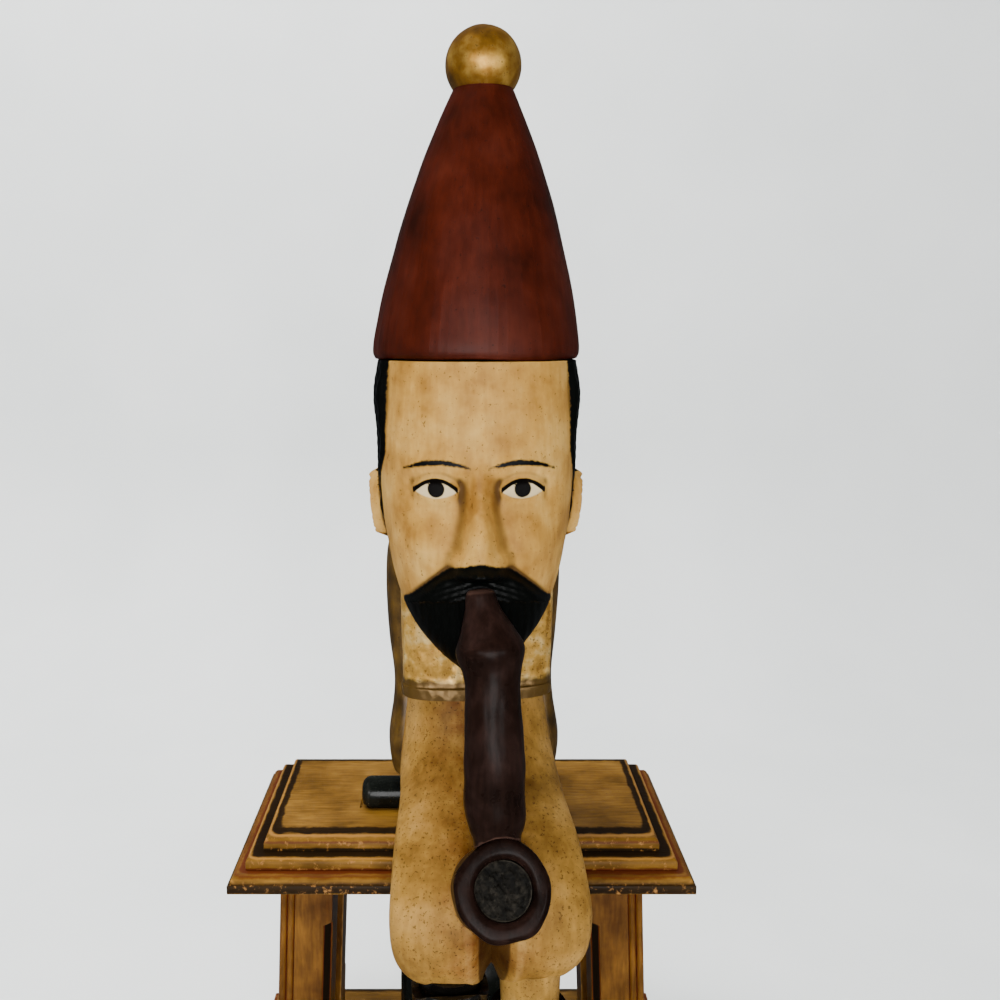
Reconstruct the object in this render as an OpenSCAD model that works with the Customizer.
// Carved balance figure: a seated man with a long pipe, rocking on a bar across a small moulded stand.
// Front is -Y, right is +X as the viewer sees it, +Z is up. The origin is under the middle of the base.

/* [Stand] */
// Height of the stand, from the ground to the top of the raised panel
stand_h = 160; // [145:1:240]
// Width of the raised panel
panel_w = 176; // [160:1:240]
// Depth of the raised panel
panel_d = 90; // [84:1:130]
// Thickness of the raised panel
panel_t = 6; // [5:0.5:10]
// Thickness of the upper moulding
upper_t = 5.5; // [4.5:0.5:10]
// Thickness of the lower moulding
lower_t = 7.5; // [6.5:0.5:12]
// How far each moulding stands out past the board above it
moulding_step = 7; // [5:0.5:12]
// Width of a square leg
leg_w = 24; // [18:1:30]
// How far the legs stand in from the edge of the lower moulding
leg_inset = 20; // [14:1:26]
// Outward splay of the legs, in degrees
leg_splay = 2.5; // [0:0.5:4]
// Width of one reed on the outer edge of a leg
reed_w = 3.4; // [2:0.2:5]
// Chamfer on the inner edge of a leg
leg_chamfer = 4; // [2:0.5:7]
// Plain length at each end of a leg, above and below the chamfer
chamfer_stop = 25; // [12:1:35]
// Thickness of the base
base_t = 20; // [16:1:30]
// How far the base stands out past the lower moulding
base_margin = 3; // [0:1:15]

/* [Pivot] */
// Diameter of the pivot bar
bar_d = 15; // [12:0.5:20]
// Length of the pivot bar
bar_l = 94; // [84:1:120]
// Depth of the groove that the bar rocks in
groove_depth = 1.5; // [1:0.25:3]
// Place of the bar, forward of the middle of the stand
bar_forward = 10; // [0:1:16]
// How far the figure rocks each way, in degrees
rock_angle = 8; // [4:1:10]

/* [Counterweight] */
// Diameter of the iron rod
rod_d = 8; // [6:0.5:10]
// Backward lean of the rod, in degrees
rod_lean = 12.2; // [0:0.1:16]
// Distance from the bar to the middle of the drum
drum_drop = 98; // [88:1:100]
// Diameter of the drum
drum_d = 72; // [50:1:74]
// Length of the drum
drum_l = 58; // [40:1:84]

/* [Figure] */
// Place of the figure along the bar, right of the middle of the stand
figure_x = 5; // [0:1:12]
// How far the figure is turned on its bar, in degrees
figure_turn = 5; // [0:1:8]
// Height of the waist above the bar
waist_h = 58; // [50:1:70]
// Half width of the hips
hip_w = 29; // [26:0.5:29.5]
// Half width across the knees
knee_w = 42; // [38:0.5:46]
// How far the knees stand forward of the bar
knee_reach = 93; // [88:1:100]
// How far the underside of the knees lies below the bar
knee_drop = 48; // [42:1:52]
// Height of the coat, waist to shoulder
coat_h = 73.5; // [66:0.5:84]
// Half width of the coat between the sleeves
coat_w = 30; // [30:0.5:33]
// Half width of the gilded front
front_w = 33.5; // [32:0.5:36]
// How far the sleeves stand out from the coat
sleeve_t = 9; // [6:0.5:12]
// Height of the head, chin to cap
head_h = 121; // [105:1:135]
// Half width of the head
head_w = 40; // [36:0.5:44]
// Height of the cap
cap_h = 108; // [90:1:130]
// Half width of the cap at its brim
cap_w = 43.7; // [41:0.1:50]
// Sideways lean of the cap, in degrees
cap_lean = 1.5; // [0:0.5:4]
// How far the head is turned back from the turn of the body, in degrees
head_turn = 4; // [0:1:6]
// Diameter of the gilded ball
ball_d = 31.2; // [27:0.2:36]
// Diameter of the calves
calf_d = 25; // [22:0.5:26]
// Bare length of the right calf between knee and boot
calf_show = 12; // [8:1:16]
// How far the rim of the left boot stands up around its knee
left_boot_up = 6.5; // [3:0.5:7.5]
// Height of the boots
boot_h = 70; // [62:1:74]
// How far the left leg is swung back, in degrees
left_leg_back = 8; // [4:1:10]

/* [Pipe] */
// Diameter of the bulb below the mouth
bulb_d = 26.5; // [20:0.5:29]
// Diameter of the stem at the bowl
stem_d = 23.5; // [18:0.5:26]
// Outer diameter of the bowl
bowl_d = 37; // [30:0.5:42]
// Diameter of the mouth of the bowl
bowl_bore = 22; // [16:0.5:24]

/* [Hidden] */
$fn = 64;

// Clearances: a glued dowel in its hole, the bar in its groove, the rod in its slot
dowel_fit = 0.1;
bar_fit = 0.15;
slot_room = 2;
past = 1;

// Paint
ochre = "#9a6e2e";
oxblood = "#4e1c17";
gold = "#c9a24b";
old_gold = "#7a5a28";
cream = "#bf9c66";
black = "#101212";
iron = "#2a2a2a";
pipe_brown = "#2b1f1f";
tobacco = "#2a2c28";
bare_wood = "#b08a5a";

// Levels of the stand
top_t = panel_t + upper_t + lower_t;
under_top = stand_h - top_t;
leg_h = under_top - base_t;
upper_w = panel_w + 2 * moulding_step;
upper_d = panel_d + 2 * moulding_step;
lower_w = upper_w + 2 * moulding_step;
lower_d = upper_d + 2 * moulding_step;
base_w = lower_w + 2 * base_margin;
base_d = lower_d + 2 * base_margin;
leg_x = lower_w / 2 - leg_inset - leg_w / 2;
leg_y = lower_d / 2 - leg_inset - leg_w / 2;
leg_out = leg_h * tan(leg_splay);
leg_dowel_d = 8;
leg_dowel_in_leg = 10;
leg_dowel_in_top = 6;
leg_dowel_in_base = 10;
screw_d = 3.5;
screw_head_d = 7;
screw_head_t = 2.5;

// Pivot axis
pivot_z = stand_h + bar_d / 2 - groove_depth;
pivot = [0, -bar_forward, pivot_z];
swing_depth = pivot_z - under_top;
slot_w = rod_d + 2 * slot_room;
slot_front = swing_depth * tan(max(0, rock_angle - rod_lean)) + rod_d / 2 + slot_room;
slot_back = swing_depth * tan(rod_lean + rock_angle) + rod_d / 2 / cos(rod_lean + rock_angle) + slot_room;

// Seat and counterweight
seat_gap = 1.5;
seat_t = 14;
seat_w = 52;
seat_front = 20;
seat_back = 16;
seat_top = seat_gap + seat_t;
rod_above = 11;
rod_in_drum = 32;
rod_l = drum_drop - drum_d / 2 + rod_in_drum;
nut_w = 13;
nut_t = 6.5;
washer_d = 18;
washer_t = 1.6;
washer_z = -drum_drop + sqrt(pow(drum_d / 2, 2) - pow(washer_d / 2, 2)) - 1;
drum_round = 6;

// Levels of the figure, above the pivot axis
shoulder_h = waist_h + coat_h;
head_seat = shoulder_h + 0.5;
chin_h = 84;
brim_h = chin_h + head_h;
cap_top = brim_h + cap_h;
tip_w = 12.4;
tip_x = cap_h * tan(cap_lean);
ball_h = cap_top + sqrt(pow(ball_d / 2, 2) - pow(tip_w, 2));

// Depths of the figure, forward of the pivot axis being negative
coat_split = -20;
coat_front_y = -34;
coat_back_y = 22;
head_y = -32;
nape_y = 5;
nape_step = 0.3;
jaw_round = 1.5;
cap_y = -24;
jaw_back = coat_front_y - 2.5;
sleeve_y = -5;
sleeve_reach = 22;
knee_y = -knee_reach + 16;
knee_x = 16.5;
mouth_y = -84.8;

// Dowels inside the figure
dowel_d = 12;
dowel_in = 14;
peg_d = 7;
peg_in = 8;
neck_y = -8;
waist_y = -2;
peg_h = shoulder_h - 24;

// Shared curves

// Row of a table with the ends repeated
function row_at(rows, i) = rows[max(0, min(len(rows) - 1, i))];

// Smooth curve through the rows of a table, u from 0 to 1
function smooth_row(rows, u) =
    let (n = len(rows) - 1, i = min(n - 1, floor(u * n)), t = u * n - i)
    let (a = row_at(rows, i - 1), b = rows[i], c = rows[i + 1], d = row_at(rows, i + 2))
    0.5 * (2 * b + (c - a) * t + (2 * a - 5 * b + 4 * c - d) * t * t + (3 * b - a - 3 * c + d) * t * t * t);

// Sine or cosine drawn towards a square with rounded corners, n of 2 being a circle
function squared(v, n) = sign(v) * pow(abs(v), 2 / n);

// Smooth hill of height 1 around zero
function hill(v, spread) = exp(-v * v / (spread * spread));

// Smooth step from 0 to 1 between two values
function ease(v, from, to) = let (t = max(0, min(1, (v - from) / (to - from)))) t * t * (3 - 2 * t);

// Solid skin over closed rings that run anticlockwise seen from the last ring
module loft(rings) {
    m = len(rings[0]);
    last = (len(rings) - 1) * m;
    points = [for (ring = rings) for (p = ring) p];
    sides = [
        for (i = [0 : len(rings) - 2]) for (j = [0 : m - 1])
        let (a = i * m + j, b = i * m + (j + 1) % m)
        for (f = [[a, a + m, b + m], [a, b + m, b]]) f
    ];
    first_cap = [for (j = [0 : m - 1]) j];
    last_cap = [for (j = [m - 1 : -1 : 0]) last + j];
    polyhedron(points, concat(sides, [first_cap, last_cap]), convexity = 6);
}

// Level oval ring: half width, reach forward and reach back of its middle
function oval(z, y, w, front, back, n, m) = [
    for (j = [0 : m - 1])
    let (a = 360 * j / m)
    [w * squared(cos(a), n), y + (sin(a) < 0 ? front : back) * squared(sin(a), n), z]
];

// Quarter arc of an edge profile, as [inset, height] steps
function quarter(inset, height, r, from, steps) = [
    for (i = [0 : steps]) let (a = from - 90 * i / steps) [inset + r * cos(a), height + r * sin(a)]
];

// Board whose four edges carry the same profile, mitred at the corners
module moulded_board(w, d, profile) {
    intersection() {
        rotate([90, 0, 0])
            linear_extrude(d, center = true) polygon(board_outline(w / 2, profile));
        rotate([90, 0, 90])
            linear_extrude(w, center = true) polygon(board_outline(d / 2, profile));
    }
}

function board_outline(half, profile) = concat(
    [for (p = profile) [half - p[0], p[1]]],
    [for (i = [len(profile) - 1 : -1 : 0]) [profile[i][0] - half, profile[i][1]]]
);

// Stand

module base_plinth() {
    ovolo = 6;
    fillet = 2;
    profile = concat(
        [[0, 0], [0, base_t - ovolo - fillet], [fillet, base_t - ovolo - fillet]],
        quarter(fillet + ovolo, base_t - ovolo, ovolo, 180, 6)
    );
    color(ochre)
        difference() {
            moulded_board(base_w, base_d, profile);
            leg_feet(base_t - leg_dowel_in_base, leg_dowel_in_base + past, dowel_fit);
        }
}

// Upright cylinders on the feet of the four legs
module leg_feet(z, h, fit) {
    for (side = [-1, 1], end = [-1, 1])
        translate([side * (leg_x + leg_out), end * leg_y, z])
            cylinder(d = leg_dowel_d + 2 * fit, h = h);
}

// Upright cylinders on the heads of the four legs
module leg_heads(z, h, fit) {
    for (side = [-1, 1], end = [-1, 1])
        translate([side * leg_x, end * leg_y, z])
            cylinder(d = leg_dowel_d + 2 * fit, h = h);
}

// Splayed leg with reeds on its outer edge and a stopped chamfer on its inner one
module leg(side, end) {
    chamfer_l = leg_h - 2 * chamfer_stop;
    recess_w = 2 * reed_w;
    color(ochre)
        difference() {
            intersection() {
                translate([side * leg_x, end * leg_y, under_top])
                    rotate([0, -side * leg_splay, 0])
                        mirror([side > 0 ? 0 : 1, 0, 0])
                            mirror([0, end < 0 ? 0 : 1, 0])
                                difference() {
                                    leg_post(recess_w);
                                    translate([-leg_w / 2, -leg_w / 2, -chamfer_stop - chamfer_l / 2])
                                        rotate([0, 0, 45])
                                            cube([leg_chamfer * sqrt(2), leg_chamfer * sqrt(2), chamfer_l],
                                                center = true);
                                }
                translate([-base_w, -base_d, base_t]) cube([2 * base_w, 2 * base_d, leg_h]);
            }
            leg_feet(base_t - past, leg_dowel_in_leg + past, dowel_fit);
            leg_heads(under_top - leg_dowel_in_leg, leg_dowel_in_leg + past, dowel_fit);
        }
}

// Front right post before its ends are cut level
module leg_post(recess_w) {
    post_h = leg_h + 2 * leg_w;
    difference() {
        translate([-leg_w / 2, -leg_w / 2, -post_h + leg_w]) cube([leg_w, leg_w, post_h]);
        translate([leg_w / 2 - recess_w, -leg_w / 2 - past, -post_h])
            cube([recess_w + past, reed_w / 2 + past, post_h + 2 * leg_w]);
    }
    for (i = [0, 1])
        translate([leg_w / 2 - reed_w * (i + 0.5), -leg_w / 2 + reed_w / 2, -post_h + leg_w])
            cylinder(d = reed_w, h = post_h, $fn = 24);
}

module leg_front_left() leg(-1, -1);
module leg_front_right() leg(1, -1);
module leg_rear_left() leg(-1, 1);
module leg_rear_right() leg(1, 1);

module leg_dowels() {
    color(bare_wood) {
        leg_feet(base_t - leg_dowel_in_base + dowel_fit,
            leg_dowel_in_base + leg_dowel_in_leg - 2 * dowel_fit, 0);
        leg_heads(under_top - leg_dowel_in_leg + dowel_fit,
            leg_dowel_in_leg + leg_dowel_in_top - 2 * dowel_fit, 0);
    }
}

// Slot through the top for the swinging rod
module rod_slot() {
    translate([-slot_w / 2, pivot.y - slot_front, under_top - past])
        cube([slot_w, slot_front + slot_back, top_t + 2 * past]);
}

// Screws that hold the three boards of the top, drawn up from below
module top_screw_set(fit) {
    screw_l = lower_t + upper_t + panel_t / 2;
    for (side = [-1, 1], end = [-1, 1])
        translate([side * panel_w / 4, end * panel_d / 3, under_top]) {
            translate([0, 0, -fit]) cylinder(d = screw_d + 2 * fit, h = screw_l + 2 * fit);
            translate([0, 0, -fit])
                cylinder(d1 = screw_head_d + 2 * fit, d2 = screw_d + 2 * fit, h = screw_head_t + fit);
        }
}

module top_screws() color(iron) top_screw_set(0);

module lower_moulding() {
    fascia = lower_t - 3.5;
    cove = 3.5;
    profile = concat(
        [[0, 0], [0, fascia]],
        [for (i = [0 : 6]) let (a = 15 * i) [1 + cove * (1 - cos(a)), fascia + cove * sin(a)]]
    );
    color(ochre)
        translate([0, 0, under_top])
            difference() {
                moulded_board(lower_w, lower_d, profile);
                translate([0, 0, -under_top]) top_cuts();
                translate([0, 0, -under_top])
                    leg_heads(under_top - past, leg_dowel_in_top + past, dowel_fit);
            }
}

module upper_moulding() {
    nosing = 2.5;
    profile = concat([[0, 0]], quarter(nosing, upper_t - nosing, nosing, 180, 6));
    color(ochre)
        translate([0, 0, under_top + lower_t])
            difference() {
                moulded_board(upper_w, upper_d, profile);
                translate([0, 0, -under_top - lower_t]) top_cuts();
            }
}

module top_panel() {
    nosing = 3;
    profile = concat([[0, 0]], quarter(nosing, panel_t - nosing, nosing, 180, 6));
    color(ochre)
        translate([0, 0, stand_h - panel_t])
            difference() {
                moulded_board(panel_w, panel_d, profile);
                translate([0, 0, panel_t - stand_h]) top_cuts();
                translate([0, 0, panel_t - stand_h]) bar_space(bar_fit, bar_l + 2);
            }
}

module top_cuts() {
    rod_slot();
    top_screw_set(dowel_fit);
}

// Pivot bar and counterweight

module at_pivot() translate(pivot) children();

// Down the rod from the middle of the bar
module along_rod() at_pivot() rotate([rod_lean, 0, 0]) children();

module bar_space(fit, length) {
    at_pivot() rotate([0, 90, 0]) cylinder(d = bar_d + 2 * fit, h = length, center = true);
}

module rod_space(fit, top, bottom) {
    along_rod() translate([0, 0, -bottom]) cylinder(d = rod_d + 2 * fit, h = bottom + top);
}

module pivot_bar() {
    edge = 1.2;
    color(black)
        difference() {
            at_pivot()
                rotate([0, 90, 0])
                    rotate_extrude()
                        polygon([
                            [0, -bar_l / 2], [bar_d / 2 - edge, -bar_l / 2], [bar_d / 2, -bar_l / 2 + edge],
                            [bar_d / 2, bar_l / 2 - edge], [bar_d / 2 - edge, bar_l / 2], [0, bar_l / 2]
                        ]);
            rod_space(dowel_fit, bar_d, bar_d);
        }
}

module seat_board() {
    color(bare_wood)
        difference() {
            figure()
                translate([-seat_w / 2, -seat_front, seat_gap])
                    cube([seat_w, seat_front + seat_back, seat_t]);
            bar_space(dowel_fit, 2 * bar_l);
            rod_space(dowel_fit, rod_above + dowel_fit, 0);
            figure() seat_screw_set(dowel_fit);
        }
}

// Screws that hold the seat board under the hips
module seat_screw_set(fit) {
    from_edge = 6;
    screw_l = seat_t + 10;
    for (side = [-1, 1], y = [-seat_front + from_edge, seat_back - from_edge / 2])
        translate([side * (seat_w / 2 - from_edge), y, seat_gap]) {
            translate([0, 0, -fit]) cylinder(d = screw_d + 2 * fit, h = screw_l + 2 * fit);
            translate([0, 0, -fit])
                cylinder(d1 = screw_head_d + 2 * fit, d2 = screw_d + 2 * fit, h = screw_head_t + fit);
        }
}

module seat_screws() color(iron) figure() seat_screw_set(0);

module counterweight_rod() color(iron) rod_space(0, rod_above, rod_l);

module counterweight_drum() {
    color(black)
        difference() {
            along_rod()
                translate([0, 0, -drum_drop])
                    rotate([0, 90, 0])
                        rotate_extrude()
                            polygon(concat(
                                [[0, -drum_l / 2]],
                                [for (i = [0 : 6]) let (a = 15 * i - 90)
                                    [drum_d / 2 - drum_round + drum_round * cos(a),
                                     drum_round - drum_l / 2 + drum_round * sin(a)]],
                                [for (i = [0 : 6]) let (a = 15 * i)
                                    [drum_d / 2 - drum_round + drum_round * cos(a),
                                     drum_l / 2 - drum_round + drum_round * sin(a)]],
                                [[0, drum_l / 2]]
                            ));
            rod_space(dowel_fit, 0, rod_l + dowel_fit);
            along_rod() translate([0, 0, washer_z]) cylinder(d = washer_d + 1, h = drum_d);
        }
}

module washer() {
    color(iron)
        difference() {
            along_rod() translate([0, 0, washer_z]) cylinder(d = washer_d, h = washer_t);
            rod_space(dowel_fit, 0, drum_drop);
        }
}

module lock_nut() {
    color(iron)
        difference() {
            along_rod()
                translate([0, 0, washer_z + washer_t])
                    cylinder(d = nut_w / cos(30), h = nut_t, $fn = 6);
            rod_space(dowel_fit, 0, drum_drop);
        }
}

// Figure, in its own frame with the pivot axis at its origin
module figure() at_pivot() translate([figure_x, 0, 0]) rotate([0, 0, figure_turn]) children();

// Upright dowel across a level joint
module joint_dowel(y, z, d, depth, fit) {
    translate([0, y, z - depth - fit]) cylinder(d = d + 2 * fit, h = 2 * (depth + fit));
}

// Breeches: front point, back point, half widths front and back, depth of the cleft between the legs
breeches_rows = [
    [coat_front_y, waist_h, coat_back_y, waist_h, hip_w + 2, hip_w, 0],
    [coat_front_y - 6, waist_h - 17, coat_back_y + 0.5, waist_h - 22, hip_w + 5, hip_w, 1],
    [coat_front_y - 15, seat_top + 14, coat_back_y - 1, seat_top + 6, hip_w + 7, hip_w, 3],
    [coat_front_y - 27, seat_top + 5, -8, seat_top, knee_w - 5, hip_w + 0.5, 5],
    [-knee_reach + 19, 10, -38, 5, knee_w - 2.5, knee_w - 7, 7],
    [-knee_reach + 7, -2, -50, -5, knee_w - 1, knee_w - 4, 9],
    [-knee_reach, -18, -60, -17, knee_w, knee_w - 2, 10],
    [-knee_reach + 1, -0.68 * knee_drop, -62, -0.66 * knee_drop, knee_w - 2, knee_w - 3, 11],
    [-knee_reach + 6, -0.88 * knee_drop, -65, -0.86 * knee_drop, knee_w - 8, knee_w - 8, 9],
    [-knee_reach + 14, -knee_drop, -71, -knee_drop, knee_w - 17, knee_w - 17, 5]
];
breeches_rings = 22;
breeches_points = 44;

// One ring: straight across the body from its front point to its back point
function breeches_ring(u) =
    let (r = smooth_row(breeches_rows, u))
    let (mid = [r[0] + r[2], r[1] + r[3]] / 2, half = [r[0] - r[2], r[1] - r[3]] / 2)
    [for (j = [0 : breeches_points - 1])
        let (a = 360 * j / breeches_points, across = squared(sin(a), 3), along = squared(cos(a), 2.6))
        let (w = r[5] + (r[4] - r[5]) * ease(along, -0.6, 0.6), x = w * across)
        let (cleft = r[6] * hill(x, 7) * ease(along, 0, 1))
        let (deep = along - cleft / norm(half))
        [x, mid.x + half.x * deep, mid.y + half.y * deep]];

module breeches() {
    color(cream)
        figure()
            difference() {
                loft([for (i = [breeches_rings : -1 : 0]) breeches_ring(i / breeches_rings)]);
                translate([-seat_w / 2 - 0.5, -seat_front - 0.5, -seat_t])
                    cube([seat_w + 1, seat_front + coat_back_y + 20, seat_top + seat_t]);
                seat_screw_set(dowel_fit);
                joint_dowel(waist_y, waist_h, dowel_d, dowel_in, dowel_fit);
                for (side = [-1, 1]) knee_peg(side, dowel_fit);
                for (side = [-1, 1]) calf_post(side, dowel_fit);
                for (side = [0, 1]) mirror([side, 0, 0]) hip_rebate();
                knee_notch();
            }
}

// Gap between the two knees
module knee_notch() {
    notch_w = 3.5;
    notch_h = 14;
    translate([0, 0, -knee_drop])
        rotate([90, 0, 0])
            linear_extrude(2 * knee_reach)
                polygon([[-notch_w, -past], [notch_w, -past], [notch_w, 0], [0, notch_h], [-notch_w, 0]]);
}

// Flat on the hip that the sleeve lies against
module hip_rebate() {
    translate([coat_w, -sleeve_reach - dowel_fit, seat_top - dowel_fit])
        cube([knee_w, sleeve_reach + coat_back_y + past, waist_h]);
}

// Dowel that joins a calf to its knee, in line with the calf
module knee_peg(side, fit) {
    leg_line(side)
        translate([0, 0, -peg_in - fit]) cylinder(d = peg_d + 2 * fit, h = 2 * (peg_in + fit));
}

// Coat: height as a share of its own, half width and reach of the back block
coat_rows = [
    [0, 29, 40],
    [0.15, 29.5, 38],
    [0.45, 32, 42],
    [0.75, 34, 43],
    [0.92, 30, 38],
    [1, 22, 28]
];

module coat_back() {
    rings = 12;
    m = 40;
    color(old_gold)
        figure()
            difference() {
                loft([for (i = [0 : rings]) let (r = smooth_row(coat_rows, i / rings)) [
                    for (j = [0 : m]) let (a = 180 * j / m, x = r[1] * squared(cos(a), 4))
                    [max(-coat_w, min(coat_w, x)), coat_split + r[2] * squared(sin(a), 3.2),
                     waist_h + coat_h * r[0]]
                ]]);
                joint_dowel(waist_y, waist_h, dowel_d, dowel_in, dowel_fit);
                joint_dowel(neck_y, shoulder_h, dowel_d, dowel_in, dowel_fit);
                for (side = [-1, 1]) sleeve_peg(side, dowel_fit);
            }
}

// Gilded front: height and half width as shares of its own, reach forward of the split
front_rows = [
    [0, 0.99, 15],
    [0.06, 1, 14.6],
    [0.12, 0.98, 13.4],
    [0.5, 1, 14],
    [0.8, 0.985, 13.5],
    [0.94, 0.835, 8]
];

// Right half of the front, closed by the split and the parting line
module coat_front() {
    rings = 12;
    m = 20;
    parting = 0.3;
    loft([for (i = [0 : rings]) let (r = smooth_row(front_rows, i / rings)) concat(
        [[parting, coat_split, waist_h + coat_h * r[0]]],
        [for (j = [m : -1 : 0]) let (a = 90 * j / m, x = front_w * r[1] * squared(cos(a), 3))
            [max(parting, x), coat_split - r[2] * squared(sin(a), 3), waist_h + coat_h * r[0]]]
    )]);
}

module coat_front_right() color(gold) figure() coat_front();
module coat_front_left() color(gold) figure() mirror([1, 0, 0]) coat_front();

// Sleeve with the hand in its pocket: height, middle, half depth, reach out
sleeve_rows = [
    [seat_top, 14 - sleeve_reach, 8, 0.5],
    [seat_top + 4, 14 - sleeve_reach, 12, 0.85],
    [seat_top + 18, 14.5 - sleeve_reach, 14, 1],
    [waist_h - 8, -6, 11, 0.75],
    [waist_h + 4, -4, 10, 0.7],
    [waist_h + 22, -1, 11.5, 0.93],
    [waist_h + 44, -2, 13, 1.05],
    [shoulder_h - 12, -4, 13.5, 0.98],
    [shoulder_h - 5, -4, 11, 0.7],
    [shoulder_h - 2, -4, 7, 0.35]
];

module sleeve(side) {
    rings = 22;
    m = 20;
    color(old_gold)
        figure()
            difference() {
                mirror([side > 0 ? 0 : 1, 0, 0])
                    loft([for (i = [0 : rings]) let (r = smooth_row(sleeve_rows, i / rings)) [
                        for (j = [0 : m]) let (a = 180 * j / m - 90)
                        [coat_w + sleeve_t * r[3] * squared(cos(a), 2.4),
                         r[1] + r[2] * squared(sin(a), 2.4), r[0]]
                    ]]);
                sleeve_peg(side, dowel_fit);
            }
}

module sleeve_left() sleeve(-1);
module sleeve_right() sleeve(1);

// Peg across the joint between sleeve and coat
module sleeve_peg(side, fit) {
    peg_out = sleeve_t / 2;
    translate([side * (coat_w - peg_in - fit), sleeve_y, peg_h])
        rotate([0, side * 90, 0]) cylinder(d = peg_d + 2 * fit, h = peg_in + peg_out + 2 * fit);
}

module sleeve_pegs() color(bare_wood) figure() for (side = [-1, 1]) sleeve_peg(side, 0);

module waist_dowel() color(bare_wood) figure() joint_dowel(waist_y, waist_h, dowel_d, dowel_in - dowel_fit, 0);
module neck_dowel() color(bare_wood) figure() joint_dowel(neck_y, shoulder_h, dowel_d, dowel_in - dowel_fit, 0);
module cap_dowel() color(bare_wood) on_neck() joint_dowel(cap_y, brim_h, dowel_d, dowel_in - dowel_fit, 0);

// Frame of the head, turned on the neck dowel
module on_neck() {
    figure()
        translate([0, neck_y, 0])
            rotate([0, 0, -head_turn])
                translate([0, -neck_y, 0]) children();
}

// Head: height, face line, back line, half width as a share of the head's own.
// The jaw stops at its back line, in front of the coat
jaw_rows = [
    [chin_h - 3, -69, -60, 0.2],
    [chin_h + 4, -71.5, -53, 0.46],
    [chin_h + 13, -73, -45, 0.66],
    [chin_h + 25, -74, jaw_back - 2, 0.8],
    [chin_h + 37, -74.6, jaw_back, 0.885],
    [head_seat - nape_step, -74.8, jaw_back, 0.93]
];
skull_rows = [
    [head_seat + nape_step, -74.8, nape_y, 0.935],
    [head_seat + 10, -74, 10, 0.97],
    [head_seat + 24, -73.5, 12.5, 0.995],
    [head_seat + 40, -73, 13, 1],
    [head_seat + 56, -72, 13, 0.99],
    [brim_h, -70, 12, 0.97]
];
head_points = 56;
head_square = 2.5;

// Face levels, by thirds from cap to chin
brow_h = brim_h - head_h / 3;
eye_h = brow_h - 9;
nose_h = brim_h - 2 * head_h / 3;
mouth_h = nose_h - 11;
eye_x = 0.42 * head_w;

// How far the carved face stands forward at a place
function face(x, z) =
    let (ax = abs(x))
    let (nose = 11 * hill(x, 6.5) * (0.25 + 0.75 * ease(z, brow_h, nose_h)) * ease(z, nose_h - 5, nose_h + 1)
        * ease(z, brow_h + 8, brow_h - 2))
    let (socket = -4.5 * hill(ax - eye_x, 10) * hill(z - eye_h, 9))
    let (eye = 3.2 * hill(ax - eye_x, 6) * hill(z - eye_h, 5))
    let (brow = 2 * hill(z - brow_h - 1, 4.5) * hill(ax - eye_x, 14))
    let (cheek = 2.5 * hill(ax - 0.55 * head_w, 11) * hill(z - nose_h - 8, 11))
    let (lip_z = mouth_h + 5 - 0.004 * ax * ax)
    let (moustache = 6.5 * hill(z - lip_z, 5.5) * ease(ax, 0.85 * head_w, 0.5 * head_w))
    let (goatee = 1.5 * hill(x, 15) * ease(z, mouth_h - 2, mouth_h - 10) * ease(z, chin_h - 8, chin_h + 2))
    nose + socket + eye + brow + cheek + moustache + goatee;

// How far an ear stands out at a place
function ear(y, z) = 5 * hill(y - head_y - 4, 6) * hill(z - (brow_h + nose_h) / 2, 12);

// One ring of the head; a jaw ring is closed by a shallow curve across its back
function head_ring(r) =
    let (jaw = r[2] < head_y, w = head_w * r[3], half = head_points / 2)
    let (from = jaw ? asin(pow((head_y - r[2]) / (head_y - r[1]), head_square / 2)) : 0)
    [for (j = [0 : head_points - 1])
        let (back = j <= half, a = back ? 180 * j / half : 180 + from + (180 - 2 * from) * (j / half - 1))
        let (x = w * squared(cos(a), head_square))
        let (reach = back ? r[2] - head_y : head_y - r[1])
        let (y = head_y + reach * squared(sin(a), head_square))
        let (carved = back ? 0 : face(x, r[0]) * ease(-sin(a), 0.05, 0.5))
        back && jaw
            ? [w * squared(cos(from), head_square) * cos(a), r[2] + jaw_round * sin(a), r[0]]
            : [x + sign(x) * (jaw ? 0 : ear(y, r[0])), y - carved, r[0]]];

module head() {
    jaw_rings = 13;
    skull_rings = 19;
    color(cream)
        difference() {
            on_neck()
                difference() {
                    loft(concat(
                        [for (i = [0 : jaw_rings]) head_ring(smooth_row(jaw_rows, i / jaw_rings))],
                        [for (i = [0 : skull_rings]) head_ring(smooth_row(skull_rows, i / skull_rings))]
                    ));
                    joint_dowel(neck_y, shoulder_h, dowel_d, dowel_in, dowel_fit);
                    joint_dowel(cap_y, brim_h, dowel_d, dowel_in, dowel_fit);
                }
            figure() on_stem() mouth_socket();
        }
}

// Cap: height and half width as shares of its own, half depth past the half width
cap_rows = [
    [0, 0.985, 3],
    [0.03, 1, 3],
    [0.1, 0.985, 2.8],
    [0.26, 0.91, 2.4],
    [0.5, 0.765, 1.8],
    [0.69, 0.605, 1.2],
    [0.87, 0.435, 0.6],
    [1, 0.29, 0]
];

module cap() {
    rings = 16;
    m = 44;
    color(oxblood)
        on_neck()
            difference() {
                loft([for (i = [0 : rings]) let (r = smooth_row(cap_rows, i / rings), w = cap_w * r[1])
                    [for (p = oval(brim_h + cap_h * r[0], cap_y, w, w + r[2], w + r[2], 2.1, m))
                        p + [cap_h * r[0] * tan(cap_lean), 0, 0]]]);
                joint_dowel(cap_y, brim_h, dowel_d, dowel_in, dowel_fit);
                ball_peg(peg_in, dowel_fit);
            }
}

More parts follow.
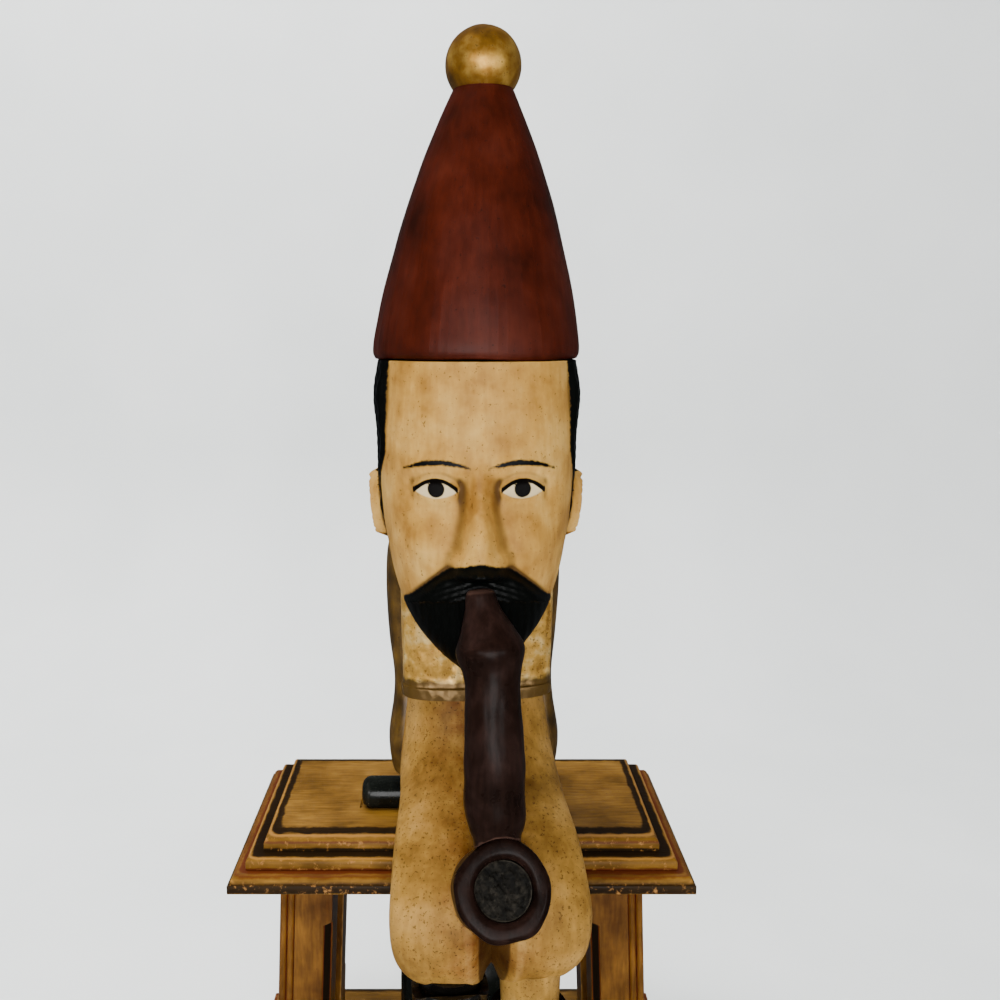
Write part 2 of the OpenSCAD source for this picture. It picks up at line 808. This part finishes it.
// Peg between cap and ball, over the leaning tip
module ball_peg(depth, fit) {
    translate([tip_x, 0, 0]) joint_dowel(cap_y, cap_top, peg_d, depth, fit);
}

module ball() {
    color(gold)
        on_neck()
            difference() {
                translate([tip_x, cap_y, ball_h]) sphere(d = ball_d);
                translate([-ball_d, cap_y - ball_d, cap_top - ball_d]) cube([2 * ball_d, 2 * ball_d, ball_d]);
                ball_peg(peg_in, dowel_fit);
            }
}

module ball_dowel() color(bare_wood) on_neck() ball_peg(peg_in - dowel_fit, 0);

// Pipe: the turned stem runs from the mouth down to the bowl on the knees
bowl_x = 1;
bowl_y = -knee_reach - 18.5;
bowl_h = 12;
bowl_tilt = 28;
bowl_deep = 30;
plug_deep = 9;
plug_down = 3;
stem_fit = 0.2;
tip_d = 11;
tip_l = 8;
stem_foot = [bowl_x - 1.5, bowl_y + 5, bowl_h + bowl_d / 2 - 2];
stem_head = [(mouth_y - neck_y) * sin(head_turn), mouth_y, mouth_h + 4];
stem_line = stem_head - stem_foot;
stem_l = norm(stem_line);
stem_tilt = acos(stem_line.z / stem_l);
stem_aim = atan2(stem_line.y, stem_line.x);

// Turned profile of the stem: share of its length up from the bowl, and radius
stem_rows = [
    [0, stem_d / 2 - 1],
    [0.12, stem_d / 2],
    [0.4, stem_d / 2 - 0.4],
    [0.6, stem_d / 2 - 1.4],
    [0.69, bulb_d / 2 - 2.2],
    [0.78, bulb_d / 2],
    [0.86, bulb_d / 2 - 2.6],
    [0.92, tip_d / 2 + 0.8],
    [0.96, tip_d / 2],
    [1, tip_d / 2]
];

module on_stem() translate(stem_foot) rotate([0, stem_tilt, stem_aim]) children();
module on_bowl() translate([bowl_x, bowl_y, bowl_h]) rotate([90 - bowl_tilt, 0, 0]) children();

// Hole in the mouth for the tip of the stem
module mouth_socket() {
    translate([0, 0, stem_l - tip_l]) cylinder(d = tip_d + 2 * stem_fit, h = tip_l + stem_fit);
}

module pipe_stem() {
    steps = 24;
    color(pipe_brown)
        figure()
            difference() {
                on_stem()
                    rotate_extrude()
                        polygon(concat(
                            [[0, 0]],
                            [for (i = [0 : steps])
                                let (r = smooth_row(stem_rows, i / steps)) [r[1], stem_l * r[0]]],
                            [[0, stem_l]]
                        ));
                on_bowl() translate([0, 0, -bowl_deep]) cylinder(d = bowl_d + 2 * dowel_fit, h = 2 * bowl_deep);
            }
}

module pipe_bowl() {
    lip = 2;
    heel = 12;
    color(pipe_brown)
        figure()
            on_bowl()
                difference() {
                    rotate_extrude()
                        polygon(concat(
                            [[0, -bowl_deep]],
                            [for (i = [0 : 6]) let (a = 15 * i - 90)
                                [bowl_d / 2 - heel + heel * cos(a), heel - bowl_deep + heel * sin(a)]],
                            [for (i = [0 : 6]) let (a = 15 * i)
                                [bowl_d / 2 - lip + lip * cos(a), -lip + lip * sin(a)]],
                            [[0, 0]]
                        ));
                    translate([0, 0, -plug_deep - plug_down - dowel_fit])
                        cylinder(d = bowl_bore, h = plug_deep + plug_down + past);
                }
}

module tobacco_plug() {
    color(tobacco)
        figure()
            on_bowl()
                translate([0, 0, -plug_deep - plug_down])
                    cylinder(d = bowl_bore - 2 * dowel_fit, h = plug_deep);
}

// Lower legs: frame at the top of a calf inside its knee, the left one swung back
calf_in_knee = 9;
calf_in_boot = 10;

module leg_line(side) {
    translate([side * knee_x, knee_y, calf_in_knee - knee_drop])
        rotate([side < 0 ? left_leg_back : 0, 0, 0]) children();
}

// Distance from the top of a calf to the rim of its boot
function boot_drop(side) = calf_in_knee + (side < 0 ? -left_boot_up : calf_show);

module calf_post(side, fit) {
    calf_l = boot_drop(side) + calf_in_boot;
    leg_line(side) translate([0, 0, -calf_l]) cylinder(d = calf_d + 2 * fit, h = calf_l + fit);
}

// The left calf is black like its boot, the right one bare
module calf(side) {
    color(side < 0 ? black : cream)
        figure()
            difference() {
                calf_post(side, 0);
                knee_peg(side, dowel_fit);
            }
}

module calf_left() calf(-1);
module calf_right() calf(1);

module knee_dowels() color(bare_wood) figure() for (side = [-1, 1]) knee_peg(side, 0);

// Boot: height above the sole and half width as shares of its own, reach forward and back of the leg line
boot_apart = 0.6;
boot_w = knee_x - boot_apart / 2;
boot_rows = [
    [0, 0.96, 45, 19],
    [0.04, 1, 46.5, 19.5],
    [0.12, 1, 45, 19],
    [0.24, 0.96, 35, 18],
    [0.36, 0.9, 20, 16.5],
    [0.5, 0.9, 16, 15.5],
    [0.8, 0.95, 16.5, 16],
    [0.97, 1, 17.5, 17],
    [1, 0.98, 17, 16.5]
];

module boot(side) {
    rings = 18;
    m = 36;
    color(black)
        figure()
            difference() {
                leg_line(side)
                    translate([0, 0, -boot_drop(side) - boot_h])
                        difference() {
                            loft([for (i = [0 : rings]) let (r = smooth_row(boot_rows, i / rings))
                                oval(boot_h * r[0], 0, boot_w * r[1], r[2], r[3], 2.3, m)]);
                            translate([0, 0, boot_h - calf_in_boot - dowel_fit])
                                cylinder(d = calf_d + 2 * dowel_fit, h = calf_in_boot + past);
                        }
                if (side < 0) knee_round();
            }
}

// Round that clears the underside of the knees, for the rim of the left boot
module knee_round() {
    round_d = 38;
    room = 1.5;
    translate([0, knee_y, -knee_drop + round_d / 2 - room])
        rotate([0, 90, 0]) cylinder(d = round_d, h = 4 * knee_w, center = true);
}

module boot_left() boot(-1);
module boot_right() boot(1);

base_plinth();
leg_front_left();
leg_front_right();
leg_rear_left();
leg_rear_right();
lower_moulding();
upper_moulding();
top_panel();
leg_dowels();
top_screws();
pivot_bar();
seat_board();
seat_screws();
counterweight_rod();
counterweight_drum();
lock_nut();
washer();
breeches();
coat_back();
coat_front_left();
coat_front_right();
sleeve_left();
sleeve_right();
sleeve_pegs();
waist_dowel();
neck_dowel();
head();
cap_dowel();
cap();
ball_dowel();
ball();
pipe_stem();
pipe_bowl();
tobacco_plug();
calf_left();
calf_right();
boot_left();
boot_right();
knee_dowels();
